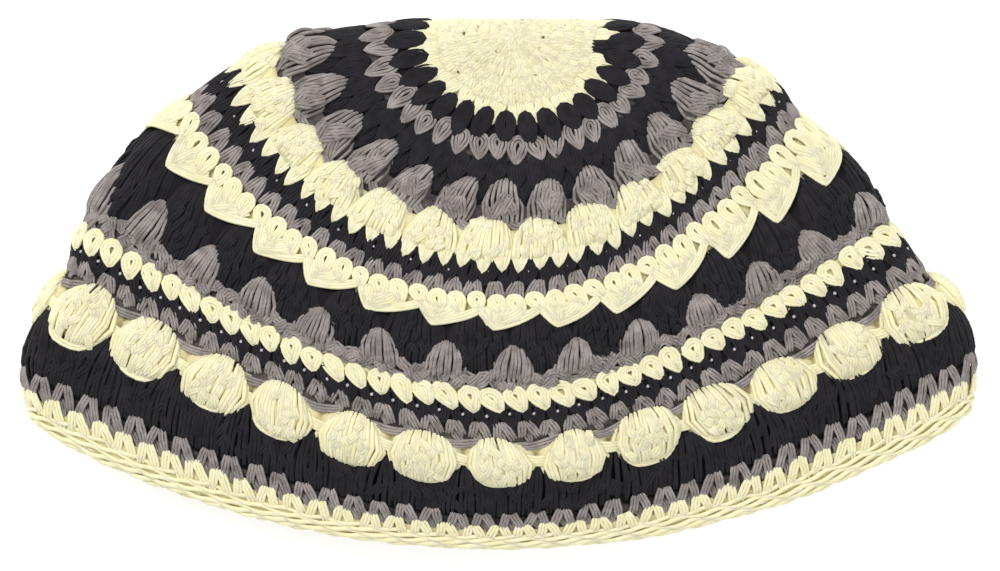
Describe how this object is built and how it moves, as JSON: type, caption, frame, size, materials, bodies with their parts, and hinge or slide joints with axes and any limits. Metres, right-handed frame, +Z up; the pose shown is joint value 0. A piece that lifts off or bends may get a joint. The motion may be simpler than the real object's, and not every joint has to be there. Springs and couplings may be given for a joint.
{
  "type": "kippah skullcap",
  "caption": "Crocheted skullcap lying folded flat, in ringed bands of cream, navy and grey yarn with rounds of bobbles, shells and fans.",
  "frame": {"origin": "on the ground, under the middle of the box round the folded cap", "axes": "+X from fold to fold, to the picture's right; the rim is open towards -Y and the crown is at +Y; +Z up, out of the front half"},
  "size_m": [0.2487, 0.137, 0.0394],
  "materials": {
    "cream_yarn": "soft matt cotton yarn, crocheted",
    "navy_yarn": "soft matt cotton yarn, crocheted",
    "grey_yarn": "soft matt cotton yarn, crocheted, its strands lying side by side"
  },
  "bodies": {
    "root": {"crown_disc": "cream_yarn", "navy_band_1": "navy_yarn", "grey_band_1": "grey_yarn", "navy_band_2": "navy_yarn", "grey_bobbles": "grey_yarn", "cream_shells": "cream_yarn", "navy_band_3": "navy_yarn", "grey_band_2": "grey_yarn", "cream_band_1": "cream_yarn", "navy_shells": "navy_yarn", "grey_fans": "grey_yarn", "cream_band_2": "cream_yarn", "navy_band_4": "navy_yarn", "grey_band_3": "grey_yarn", "cream_bobbles": "cream_yarn", "navy_band_5": "navy_yarn", "grey_band_4": "grey_yarn", "cream_edging": "cream_yarn"}
  },
  "joints": []
}
